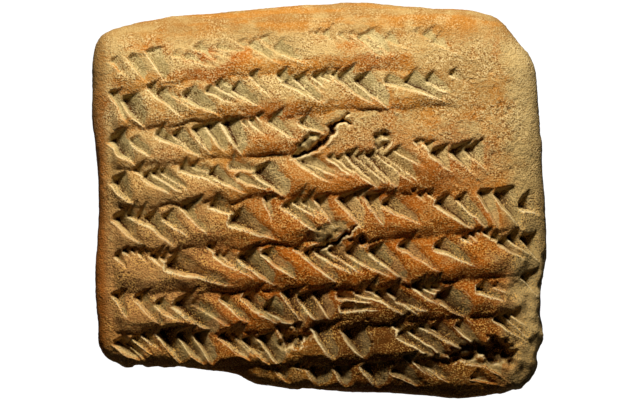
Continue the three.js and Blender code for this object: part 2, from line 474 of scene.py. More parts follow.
@dataclass(frozen=True)
class Stroke:
    """One press of the stylus corner: where it is deepest, and the rim that it leaves."""

    x: float
    y: float
    angle: float
    length: float
    width: float
    depth: float
    head: tuple[Pair, ...] = ((-0.12, -0.22), (-0.22, 0.14), (0.2, 1.0))  # rim there, in widths
    lip: float = 0.12  # height of the clay pushed up along the rim
    lip_width: float = 0.26  # as a share of the way out to the rim
    lip_unevenness: float = 13.0  # how much the unevenness of the walls shows in it
    lip_loss: float = 0.85  # how much lower it is on the side that the head points to
    lip_side: Pair = (-0.1, 0.3)  # where that side begins, in widths across
    lip_room: float = 0.1  # depth pressed before, where hardly any lip is left
    opening: Pair = (0.1, 0.4)  # depths between which the skin is opened
    opening_share: float = 1.5  # how bared it is then, for each millimetre of the stroke's depth

    def rim(self) -> list[Pair]:
        """Returns the rim's corners along and across the stroke: the head, then the tail."""
        return [(t * self.width, n * self.width) for t, n in self.head] + [(self.length, 0.0)]

    def top(self) -> float:
        """Returns how far the rim reaches up the face from the deepest point."""
        turn = math.radians(self.angle)
        return max(t * math.sin(turn) + n * math.cos(turn) for t, n in self.rim())

    def wall(self, along: np.ndarray, across: np.ndarray) -> np.ndarray:
        """Measures the stylus corner that made the stroke.

        Args:
            along: Places along the stroke, from its deepest point towards the tail.
            across: Places across it.

        Returns:
            How far out each place is: 0 at the deepest point, 1 on the rim.
        """
        out = np.full(len(along), -np.inf)
        corners = self.rim()
        for (t0, n0), (t1, n1) in zip(corners, corners[1:] + corners[:1]):
            edge = np.array((t1 - t0, n1 - n0))
            facing = np.array((edge[1], -edge[0])) / np.hypot(*edge)
            distance = facing @ (t0, n0)
            if distance < 0:
                facing, distance = -facing, -distance
            out = np.maximum(out, (facing[0] * along + facing[1] * across) / distance)
        return out

    def _measure(self, skin: Skin, near: np.ndarray) -> tuple[np.ndarray, np.ndarray, np.ndarray]:
        """Measures the skin from the place where the stroke is deepest.

        Args:
            skin: The skin to press.
            near: The numbers of its points that the stroke may touch.

        Returns:
            How far along the stroke, how far across it and how high each point is.
        """
        normal = skin.lump.face_normal(self.x, self.y)
        turn = UP.rotation_difference(normal)
        angle = math.radians(self.angle)
        along = turn @ Vector((math.cos(angle), math.sin(angle), 0.0))
        across = turn @ Vector((-math.sin(angle), math.cos(angle), 0.0))
        origin = np.array((self.x, self.y, float(skin.lump.face_height(self.x, self.y))))
        offsets = skin.points(near) - origin
        closest = near[np.argmin(np.abs(offsets[:, :2]).sum(axis=1))]
        start = skin.swell[closest] + skin.pressed[closest]
        height = offsets @ np.array(normal) - start
        return offsets @ np.array(along), offsets @ np.array(across), height

    def press(self, skin: Skin, waver: np.ndarray) -> None:
        """Presses the stroke into the skin and pushes up a lip of clay along its lower edge.

        Args:
            skin: The skin to press.
            waver: How far the press strays at each point of the skin: along, across and in depth.
        """
        near = skin.near(self.x, self.y, self.length + self.width)
        if not len(near):
            return
        along, across, height = self._measure(skin, near)
        stray = waver[near]
        across += stray[:, 1]
        out = self.wall(along + stray[:, 0], across)
        stylus = self.depth * (out - 1) + stray[:, 2]
        opened = step(*self.opening, height - stylus)
        skin.bare(near, opened * min(1.0, self.opening_share * self.depth))
        skin.push(near, np.maximum(0, height - stylus))
        lip = self.lip * np.exp(-(((out - 1) / self.lip_width) ** 2)) * (out > 1)
        upper = step(*self.lip_side, across / self.width)
        lip *= (1 + self.lip_unevenness * stray[:, 2]) * (1 - self.lip_loss * upper)
        room = np.exp(-skin.pressed[near] / self.lip_room)
        skin.raise_by(near, lip * room * min(1.0, self.depth))


@dataclass
class Inscription:
    """Rows of strokes that fill the face down to its lower rim."""

    seed: int = 1187
    raised: float = 0.5  # how far the heads reach up the foot of the ridge above
    stroke_jitter: float = 0.4
    angle_jitter: float = 11.0
    uneven_size: Pair = (0.65, 1.35)
    uneven_step: Pair = (0.8, 1.25)
    group_gap: Pair = (0.0, 0.5)
    waver: Layer = (1.5, 0.16)  # how far a stroke's edges stray
    dents: float = 0.05  # unevenness of its walls
    dent_layers: tuple[Layer, ...] = ((1.1, 1.0), (0.5, 0.6))
    last_reach: float = 0.975  # share of the way to the outline that the heads keep within
    faintest: float = 0.2  # depth of a stroke that doesn't mark the clay
    rows: tuple[Row, ...] = (
        Row(17.6, 20.9, 21.2, -25.6, 14.5, 0.55),
        Row(13.1, 15.9, 15.4, -25.6, 18.5, 0.95),
        Row(8.3, 10.7, 11.7, -25.6, 1.5, 1.0),
        Row(3.6, 6.0, 7.6, -25.4, 18.5, 1.05),
        Row(-1.0, 0.5, 1.3, -25.2, 26.6, 1.1),
        Row(-6.2, -5.2, -3.7, -25.2, 26.6, 1.15),
        Row(-11.3, -10.8, -9.2, -25.2, 26.6, 1.2),
        Row(-16.1, -15.5, -13.8, -25.0, -2.0, 1.3),
        Row(-16.1, -15.5, -13.8, -0.5, 8.0, 1.1, Hand.PEAK),
        Row(-16.1, -15.5, -13.8, 9.0, 25.6, 1.25),
        Row(-19.9, -20.1, -19.8, -11.0, -2.0, 1.0),
        Row(-20.2, -20.2, -19.8, -1.0, 8.0, 0.9, Hand.PEAK),
        Row(-20.1, -19.4, -18.6, 9.0, 22.5, 1.0),
    )

    def strokes(self) -> Iterator[Stroke]:
        """Lays out every row's strokes in turn."""
        dice = Dice(self.seed)
        for row in self.rows:
            yield from self._row_of_strokes(row, dice)

    def _row_of_strokes(self, row: Row, dice: Dice) -> Iterator[Stroke]:
        """Lays out one row, group after group, from its start to its end.

        Args:
            row: The row.
            dice: The stream that every row draws from in turn.

        Yields:
            The strokes from left to right.
        """
        x = row.start
        while x < row.end:
            group = row.only.value if row.only else dice.pick([hand.value for hand in Hand])
            count = dice.whole(*group.count)
            step_along = dice.between(*group.step)
            angle = dice.between(*group.angle)
            length = dice.between(*group.length)
            width = dice.between(*group.width)
            for number in range(count):
                if x >= row.end:
                    break
                turned = angle + dice.between(-self.angle_jitter, self.angle_jitter)
                size = dice.between(*self.uneven_size)
                depth = group.depth * row.press * size
                loose = Stroke(0.0, 0.0, turned, length * size, width * size, depth)
                stray = dice.between(-self.stroke_jitter, self.stroke_jitter)
                y = row.head_line(x) + self.raised - loose.top() - number * group.down + stray
                yield replace(loose, x=x, y=y)
                x += step_along * dice.between(*self.uneven_step)
            x += length * math.cos(math.radians(angle)) * dice.between(*self.group_gap)

    def press(self, skin: Skin) -> int:
        """Presses every stroke that is on the face.

        Args:
            skin: The skin to press.

        Returns:
            How many strokes that is.
        """
        lumps = Lumps(self.seed + 1)
        period, most = self.waver
        along = most * lumps.at(skin.places, period)
        across = most * lumps.at(skin.places, period, apart=40)
        dents = self.dents * lumps.layers(skin.places, self.dent_layers)
        waver = np.stack([along, across, dents], axis=1)
        made = 0
        for stroke in self.strokes():
            inside = skin.lump.share_of_reach(stroke.x, stroke.y) < self.last_reach
            if inside and stroke.depth > self.faintest:
                stroke.press(skin, waver)
                made += 1
        return made


@dataclass
class Ridges:
    """Low ridges of clay between the rows, each of which ends in a low cliff over the next row."""

    seed: int = 1187
    height: float = 0.6
    crest: float = 0.7  # where a ridge is highest, as a share of the way to the next row
    rise: float = 0.8  # power of its rise up to there
    fall: float = 0.4  # power of its fall: the smaller, the later and steeper
    uneven_line: Layer = (2.4, 0.5)  # how far a ridge strays
    uneven_height: Layer = (4.0, 0.5)  # as a share of its height
    uneven_fall: Layer = (4.5, 1.3)  # as a power of e that its fall is multiplied by
    starts: Pair = (-0.2, 1.4)  # from a row's start, where its ridge rises
    ends: Pair = (-7.0, 1.0)  # from its end, where the ridge dies out
    lee: Pair = (-0.1, 0.1)  # from the crest, where the painted shade on its lee slope begins
    lee_end: float = 1.05  # share of the way to the next row where it ends
    rows: tuple[Row, ...] = (
        Row(17.6, 20.9, 21.2, -25.6, 14.5, 0.5),
        Row(13.1, 15.9, 15.4, -25.6, 18.5, 0.9),
        Row(8.3, 10.7, 11.7, -25.6, 1.5, 1.05),
        Row(3.6, 6.0, 7.6, -25.4, 18.5, 1.1),
        Row(-1.0, 0.5, 1.3, -25.2, 27.0, 1.15),
        Row(-6.2, -5.2, -3.7, -25.2, 27.0, 1.25),
        Row(-11.3, -10.8, -9.2, -25.2, 27.0, 1.35),
        Row(-16.1, -15.5, -13.8, -25.0, 26.0, 1.2),
        Row(-20.0, -20.0, -18.8, -10.0, 22.5, 0.6),
        Row(-23.4, -22.8, -22.8, -9.0, 22.5, 0.6),
    )

    def heap(self, skin: Skin) -> None:
        """Raises the ridge under each row but the last, and marks its lee slope for painted shade.

        Args:
            skin: The skin to raise.
        """
        lumps = Lumps(self.seed)
        places = skin.places[skin.face]
        x, y = places[:, 0], places[:, 1] + lumps.layers(places, [self.uneven_line])
        tall = self.height * (1 + lumps.layers(places, [self.uneven_height]))
        power = self.fall * np.exp(lumps.layers(places, [self.uneven_fall], apart=30))
        lines = [row.head_line(x) for row in self.rows]
        for row, line, below in zip(self.rows, lines, lines[1:]):
            share = (line - y) / (line - below)
            drop = np.clip((1 - share) / (1 - self.crest), 0, 1) ** power
            ridge = step(0, self.crest, share) ** self.rise * drop
            fade = step(row.start + self.starts[0], row.start + self.starts[1], x)
            fade *= 1 - step(row.end + self.ends[0], row.end + self.ends[1], x)
            skin.raise_by(skin.face, tall * row.press * ridge * fade)
            # The lee slope faces the lower edge, away from the key light, and is marked for painted
            # shade.
            lee = step(self.crest + self.lee[0], self.crest + self.lee[1], share)
            lee *= share < self.lee_end
            skin.sheltered[skin.face] = np.maximum(skin.sheltered[skin.face], lee * fade)


# ---- Damage and wear ------------------------------------------------------------------------


@dataclass(frozen=True)
class Crack:
    """A torn crack along a line of points, with a curled lip on its lower side."""

    path: tuple[Pair, ...]
    half_width: float
    depth: float
    lip: float
    reach: float = 4.0  # how far round the line the skin is touched, in half widths
    wander: float = 0.35  # how far the crack strays from the line
    wander_layers: tuple[Layer, ...] = ((1.1, 1.0), (0.5, 0.5))
    blunt: float = 0.03  # share of its length at each end where it narrows no further
    wall: float = 1.3  # power of its walls
    curl_place: float = 1.25  # of the lip, in the crack's own width there
    curl_width: float = 0.6  # of the lip, in half widths
    torn: float = 0.9  # length of the bits that the lip is torn into

    def _follow(self, plan: np.ndarray) -> tuple[np.ndarray, np.ndarray, np.ndarray]:
        """Measures points against the crack's line.

        Args:
            plan: The points seen from above, one a row.

        Returns:
            How far each point is from the line, on which side it is (the lower side is
            negative), and what share of the line lies before it.
        """
        path = np.array(self.path)
        lengths = np.linalg.norm(np.diff(path, axis=0), axis=1)
        shares = np.concatenate([[0.0], np.cumsum(lengths)]) / lengths.sum()
        best = np.full(len(plan), np.inf)
        side = np.zeros(len(plan))
        share = np.zeros(len(plan))
        for start, end, first, last in zip(path[:-1], path[1:], shares[:-1], shares[1:]):
            run = end - start
            part = np.clip((plan - start) @ run / (run @ run), 0, 1)
            away = plan - (start + part[:, None] * run)
            distance = np.linalg.norm(away, axis=1)
            closer = distance < best
            best = np.where(closer, distance, best)
            side = np.where(closer, np.sign(run[0] * away[:, 1] - run[1] * away[:, 0]), side)
            share = np.where(closer, first + part * (last - first), share)
        return best, side, share

    def cut(self, skin: Skin, lumps: Lumps) -> None:
        """Opens the crack.

        Args:
            skin: The skin to open.
            lumps: What makes the crack uneven.
        """
        path = np.array(self.path)
        middle = path.mean(axis=0)
        reach = float(np.abs(path - middle).max()) + self.reach * self.half_width
        near = skin.near(middle[0], middle[1], reach)
        places = skin.places[near]
        stray = [lumps.layers(places, self.wander_layers, apart) for apart in (0, 50)]
        away, side, share = self._follow(places[:, :2] + self.wander * np.stack(stray, axis=1))
        taper = np.sin(math.pi * np.clip(share, self.blunt, 1 - self.blunt)) ** 0.5
        open_width = self.half_width * taper
        inside = np.maximum(0, 1 - (away / open_width) ** self.wall)
        skin.push(near, self.depth * inside)
        from_curl = (away - open_width * self.curl_place) / (self.curl_width * self.half_width)
        curl = np.exp(-(from_curl**2)) * (side < 0) * np.sin(math.pi * share)
        skin.raise_by(near, self.lip * (1 + lumps.at(places, self.torn)) * curl)


@dataclass(frozen=True)
class Hollow:
    """A rough hollow where clay has broken away."""

    x: float
    y: float
    along: float
    across: float
    turn: float
    depth: float
    rough: float = 0.35  # height of the lumps on its floor, as a share of its depth
    rough_period: float = 1.0
    reach: float = 1.6  # how far out the skin is touched, in half lengths
    ragged: tuple[Layer, ...] = ((1.6, 0.35), (0.7, 0.2))  # unevenness of its edge
    bank: float = 0.55  # how much of the way in its walls take

    def cut(self, skin: Skin, lumps: Lumps) -> None:
        """Breaks the hollow out.

        Args:
            skin: The skin to break.
            lumps: What makes the hollow uneven.
        """
        near = skin.near(self.x, self.y, self.reach * max(self.along, self.across))
        places = skin.places[near]
        turn = math.radians(self.turn)
        dx, dy = places[:, 0] - self.x, places[:, 1] - self.y
        along = (dx * math.cos(turn) + dy * math.sin(turn)) / self.along
        across = (dy * math.cos(turn) - dx * math.sin(turn)) / self.across
        out = np.hypot(along, across) + lumps.layers(places, self.ragged)
        inside = step(0, self.bank, 1 - out)
        floor = 1 + self.rough * lumps.at(places, self.rough_period)
        skin.push(near, self.depth * inside * floor)
        skin.bare(near, inside)


@dataclass(frozen=True)
class Pits:
    """Small pits scattered over an ellipse on the face."""

    x: float
    y: float
    along: float
    across: float
    count: int
    radius: Pair
    depth: Pair

    def cut(self, skin: Skin, dice: Dice) -> None:
        """Sinks every pit into the skin.

        Args:
            skin: The skin to pit.
            dice: What scatters the pits.
        """
        for _ in range(self.count):
            turn = dice.between(0, 2 * math.pi)
            share = math.sqrt(dice.roll())
            x = self.x + self.along * share * math.cos(turn)
            y = self.y + self.across * share * math.sin(turn)
            radius = dice.between(*self.radius)
            depth = dice.between(*self.depth)
            near = skin.near(x, y, radius)
            away = np.hypot(skin.places[near, 0] - x, skin.places[near, 1] - y) / radius
            skin.raise_by(near, -depth * np.maximum(0, 1 - away**2))


@dataclass
class Damage:
    """Everything that time has done to the tablet."""

    seed: int = 77
    cracks: tuple[Crack, ...] = (
        Crack(
            (
                (-3.3, 5.5),
                (-1.9, 5.9),
                (-0.5, 6.5),
                (0.8, 7.6),
                (1.4, 8.6),
                (1.6, 9.3),
                (2.3, 9.8),
                (3.1, 9.8),
                (3.9, 9.4),
            ),
            half_width=0.48,
            depth=1.5,
            lip=0.2,
        ),
        Crack(((2.2, 9.7), (3.0, 10.2), (3.9, 10.8)), half_width=0.2, depth=0.7, lip=0.1),
        Crack(
            ((-0.8, -6.0), (0.4, -5.4), (2.4, -4.9), (3.7, -3.7), (4.6, -2.6)),
            half_width=0.3,
            depth=1.0,
            lip=0.2,
        ),
    )
    hollows: tuple[Hollow, ...] = (
        Hollow(-1.4, 6.9, 2.1, 1.0, 30, 0.75, 0.9),
        Hollow(7.8, 7.5, 1.4, 1.6, 0, 0.85, 0.9),
        Hollow(0.8, -3.9, 3.0, 1.5, 20, 0.35),
        Hollow(5.3, -4.8, 0.7, 0.9, 0, 0.9),
        Hollow(21.7, -18.4, 2.8, 1.9, -12, 1.8, 0.5),
        Hollow(18.0, -18.5, 2.7, 1.3, 3, 1.3, 0.5),
        Hollow(-3.2, -16.9, 2.4, 1.1, 8, 1.2),
    )
    pits: tuple[Pits, ...] = (
        Pits(19.5, 8.5, 8.0, 7.5, 260, (0.16, 0.36), (0.04, 0.11)),
        Pits(1.0, -4.1, 3.4, 1.8, 90, (0.14, 0.34), (0.06, 0.18)),
        Pits(0.0, 0.0, 27.0, 23.0, 500, (0.12, 0.30), (0.04, 0.12)),
        Pits(4.0, -18.0, 12.0, 4.0, 160, (0.14, 0.32), (0.06, 0.16)),
    )

    def cut(self, skin: Skin) -> None:
        """Breaks, cracks and pits the skin.

        Args:
            skin: The skin to damage.
        """
        lumps = Lumps(self.seed)
        for damage in (*self.hollows, *self.cracks):
            damage.cut(skin, lumps)
        dice = Dice(self.seed)
        for pits in self.pits:
            pits.cut(skin, dice)


@dataclass
class Handling:
    """How unevenly the clay was patted into shape, and how coarse its grain is."""

    seed: int = 11
    uneven: tuple[Layer, ...] = ((11.0, 0.28), (4.5, 0.13), (1.9, 0.08))
    streaks: Layer = ((7.0, 0.9, 0.9), 0.05)  # left by fingers along the upper edge
    streaked: Pair = (18.0, 22.0)  # heights up the face between which they begin
    folds: tuple[Layer, ...] = (((1.6, 2.4, 2.4), 1.0), (1.1, 0.5))
    fold_height: float = 0.45
    squeezed_right: Pair = (20.5, 24.0)  # along X, where the folds begin
    squeezed_low: Pair = (-11.0, -3.0)  # along Y, where they end
    squeezed_high: Pair = (2.5, 6.5)  # above the widest level
    grain: tuple[Layer, ...] = ((0.9, 0.03), (0.42, 0.055))
    level: float = 1.2  # height at which the clay over the flat spot is as uneven as elsewhere

    def knead(self, skin: Skin) -> None:
        """Leaves the clay uneven, streaked at its upper edge and folded at its lower right edge.

        Args:
            skin: The skin to shape.
        """
        lumps = Lumps(self.seed)
        x, y, z = skin.places.T
        for period, height in self.uneven:
            skin.raise_by(slice(None), height * lumps.at(skin.places, period))
        period, height = self.streaks
        smooth = step(*self.streaked, y)
        skin.raise_by(slice(None), height * smooth * lumps.at(skin.places, period))
        squeezed = step(*self.squeezed_right, x) * (1 - step(*self.squeezed_low, y))
        squeezed *= step(*self.squeezed_high, z - skin.lump.widest)
        folds = lumps.layers(skin.places, self.folds)
        skin.raise_by(slice(None), self.fold_height * squeezed * folds)
        self._keep_flat(skin)

    def roughen(self, skin: Skin) -> None:
        """Adds the fine grain.

        Args:
            skin: The skin to roughen.
        """
        lumps = Lumps(self.seed + 1)
        for period, height in self.grain:
            skin.raise_by(slice(None), height * lumps.at(skin.places, period))
        self._keep_flat(skin)

    def _keep_flat(self, skin: Skin) -> None:
        """Keeps the spot that the tablet lies on flat and the rest above it."""
        skin.swell *= step(0, self.level, skin.places[:, 2])


# ---- Materials ------------------------------------------------------------------------------


class Wire:
    """A shader socket that adds Math nodes when it is used in an expression."""

    def __init__(self, recipe: "Recipe", socket: bpy.types.NodeSocket) -> None:
        """Wraps a socket of a recipe's node tree."""
        self.recipe = recipe
        self.socket = socket

    def _math(self, operation: str, *values: "Wire | float") -> "Wire":
        """Adds a Math node and returns its result."""
        settings = {"operation": operation}
        return self.recipe.add("ShaderNodeMath", settings, dict(enumerate(values)))

    def __add__(self, other: "Wire | float") -> "Wire":
        """Adds."""
        return self._math("ADD", self, other)

    def __radd__(self, other: float) -> "Wire":
        """Adds to a number."""
        return self._math("ADD", other, self)

    def __sub__(self, other: "Wire | float") -> "Wire":
        """Subtracts."""
        return self._math("SUBTRACT", self, other)

    def __rsub__(self, other: float) -> "Wire":
        """Subtracts from a number."""
        return self._math("SUBTRACT", other, self)

    def __mul__(self, other: "Wire | float") -> "Wire":
        """Multiplies."""
        return self._math("MULTIPLY", self, other)

    def __rmul__(self, other: float) -> "Wire":
        """Multiplies a number."""
        return self._math("MULTIPLY", other, self)

    def held(self) -> "Wire":
        """Holds the value between 0 and 1."""
        return self.recipe.add("ShaderNodeClamp", {}, {"Value": self})

    def ramp(self, low: float, high: float) -> "Wire":
        """Eases from 0 at low to 1 at high."""
        inputs = {"Value": self, "From Min": low, "From Max": high}
        return self.recipe.add("ShaderNodeMapRange", {"interpolation_type": "SMOOTHSTEP"}, inputs)


class Recipe:
    """A node tree being mixed for one material."""

    def __init__(self, name: str) -> None:
        """Starts an empty material with a Principled shader."""
        self.material = bpy.data.materials.new(name)
        self.material.use_nodes = True
        self.tree = self.material.node_tree
        self.shader = self.tree.nodes["Principled BSDF"]
        self.places = self.add("ShaderNodeTexCoord", {}, {}, "Object")

    def add(self, kind: str, settings: dict, inputs: dict, output: str | int = 0) -> Wire:
        """Adds a node.

        Args:
            kind: The node's type.
            settings: Its own settings, which are set first.
            inputs: A value or a wire for each socket, by name or number.
            output: The name or number of the socket to return.

        Returns:
            The wire from that socket.
        """
        node = self.tree.nodes.new(kind)
        for name, value in settings.items():
            setattr(node, name, value)
        for key, value in inputs.items():
            self.feed(self._socket(node.inputs, key), value)
        return Wire(self, self._socket(node.outputs, output))

    @staticmethod
    def _socket(sockets: Iterable[bpy.types.NodeSocket], key: str | int) -> bpy.types.NodeSocket:
        """Finds a socket.

        Args:
            sockets: A node's inputs or outputs.
            key: The socket's number, identifier or name.

        Returns:
            The socket.
        """
        if isinstance(key, int):
            return sockets[key]
        by_identifier = {socket.identifier: socket for socket in sockets}
        return by_identifier[key] if key in by_identifier else sockets[key]

    def feed(self, socket: bpy.types.NodeSocket, value: "Wire | float | Sequence[float]") -> None:
        """Feeds a socket.

        Args:
            socket: The socket.
            value: A wire to link to it, or a value of its own.
        """
        if isinstance(value, Wire):
            self.tree.links.new(value.socket, socket)
        else:
            socket.default_value = value

    def mix(self, share: Wire | float, low: "Colour", high: "Colour") -> Wire:
        """Mixes two colours; a share of 0 gives the first."""
        inputs = {"Factor_Float": share, "A_Color": low, "B_Color": high}
        return self.add("ShaderNodeMix", {"data_type": "RGBA"}, inputs, "Result_Color")

    def noise(self, period: float, detail: float, stretch: Sequence[float] = (1, 1, 1)) -> Wire:
        """Makes noise through space.

        Args:
            period: The width of its lumps, in millimetres.
            detail: How many finer layers it has.
            stretch: How much longer the lumps are along each axis.

        Returns:
            The noise, from 0 to 1.
        """
        inputs = {"Vector": self.places, "Scale": [1 / length for length in stretch]}
        places = self.add("ShaderNodeMapping", {}, inputs)
        inputs = {"Vector": places, "Scale": 1 / (period * MM), "Detail": detail}
        return self.add("ShaderNodeTexNoise", {}, inputs, "Fac")

    def ellipse(self, x: float, y: float, along: float, across: float) -> Wire:
        """Marks a soft ellipse on the face, in millimetres.

        Args:
            x: How far to the right of the middle its centre is.
            y: How far up from the middle it is.
            along: Half its width.
            across: Half its height.

        Returns:
            1 in its middle and 0 outside it.
        """
        inputs = {
            "Vector": self.places,
            "Location": (x * MM, y * MM, 0.0),
            "Scale": (along * MM, across * MM, 1.0),
        }
        places = self.add("ShaderNodeMapping", {"vector_type": "TEXTURE"}, inputs)
        settings = {"gradient_type": "SPHERICAL"}
        ball = self.add("ShaderNodeTexGradient", settings, {"Vector": places}, "Fac")
        return ball.ramp(0, 0.8)

    def painted(self, name: str) -> Wire:
        """Reads one of the mesh's own attributes."""
        return self.add("ShaderNodeAttribute", {"attribute_name": name}, {}, "Fac")

    def bump(self, height: Wire, distance: float, strength: float) -> Wire:
        """Turns a height from 0 to 1 into a normal; the distance is in millimetres."""
        inputs = {"Height": height, "Distance": distance * MM, "Strength": strength}
        return self.add("ShaderNodeBump", {}, inputs, "Normal")

    def finish(self, **sockets: "Wire | float | Sequence[float]") -> bpy.types.Material:
        """Feeds the Principled shader.

        Args:
            sockets: A value or a wire for each socket, by names with underscores for spaces.

        Returns:
            The finished material.
        """
        for name, value in sockets.items():
            self.feed(self.shader.inputs[name.replace("_", " ")], value)
        return self.material


Paint = tuple[float, float, float, float]
Colour = Wire | Paint


def paint(red: float, green: float, blue: float) -> Paint:
    """Turns a screen colour into a shader colour, by the standard curve of screens.

    Args:
        red: How red it is, from 0 to 255.
        green: How green it is.
        blue: How blue it is.

    Returns:
        The shader colour, opaque.
    """
    linear = [
        c / 12.92 if c <= 0.04045 else ((c + 0.055) / 1.055) ** 2.4
        for c in (red / 255, green / 255, blue / 255)
    ]
    return (*linear, 1.0)


@dataclass(frozen=True)
class StainOrShadePatch:
    """A soft patch of colour on the clay, an ellipse in millimetres; the dark brown ones are painted
    shade and the rest are stains.
    """

    x: float
    y: float
    along: float
    across: float
    share: float
    colour: Paint

    def over(self, clay: Recipe, colour: Wire) -> Wire:
        """Lays the patch over a colour."""
        ellipse = clay.ellipse(self.x, self.y, self.along, self.across)
        return clay.mix(ellipse * self.share, colour, self.colour)


@dataclass(frozen=True)
class Bands:
    """Where the clay's looks change, from the first to the second place of each pair.

    Places are in millimetres from the middle: up the face, to its right or to its left.
    """

    up_from_dirty: Pair = (-10.0, 6.0)
    up_from_clean_edge: Pair = (-19.5, -13.5)
    up_from_warm: Pair = (-8.0, 14.0)
    up_to_dusty: Pair = (-8.0, 19.0)
    up_to_smooth: Pair = (18.0, 21.0)
    up_to_tan: Pair = (18.5, 21.5)
    up_to_streaked: Pair = (19.0, 22.0)
    up_to_rubbed: Pair = (20.0, 23.0)
    up_the_strip: Pair = (2.0, 20.0)
    right_to_olive: Pair = (20.0, 25.0)
    left_to_strip: Pair = (25.6, 26.8)
    left_to_smooth: Pair = (25.8, 27.0)


class ClayGuide:
    """What the clay's colours go by: its relief, places on it in millimetres, and noise."""

    EDGE_DIRT = 0.2  # how much of the lower clay's darker, rustier look the lower edge keeps, as a share of the clay above it

    def __init__(self, clay: Recipe, bands: Bands) -> None:
        """Reads the relief and the places, and makes the noise.

        Args:
            clay: The recipe that they are for.
            bands: Where the darker, rustier lower clay and the warm clay lie.
        """
        self.pressed = clay.painted("pressed")
        self.bared = clay.painted("bared")
        self.crest = clay.painted("crest")
        self.sheltered = clay.painted("sheltered")
        self.x, self.y = (
            clay.add("ShaderNodeSeparateXYZ", {}, {"Vector": clay.places}, axis) * (1 / MM)
            for axis in "XY"
        )
        self.broad = clay.noise(9.0, 3.0)
        self.gritty = clay.noise(3.2, 3.0)
        self.patchy = clay.noise(2.6, 4.0)
        self.streaky = clay.noise(1.4, 3.0, (5, 1, 1))
        self.fine = clay.noise(0.5, 3.0)
        self.sandy = clay.noise(0.2, 2.0)
        # The lower clay is darker and rustier, less so right at its lower edge.
        edge = self.y.ramp(*bands.up_from_clean_edge) * (1 - self.EDGE_DIRT) + self.EDGE_DIRT
        self.low = (1 - self.y.ramp(*bands.up_from_dirty)) * edge
        self.warm = 1 - self.y.ramp(*bands.up_from_warm)


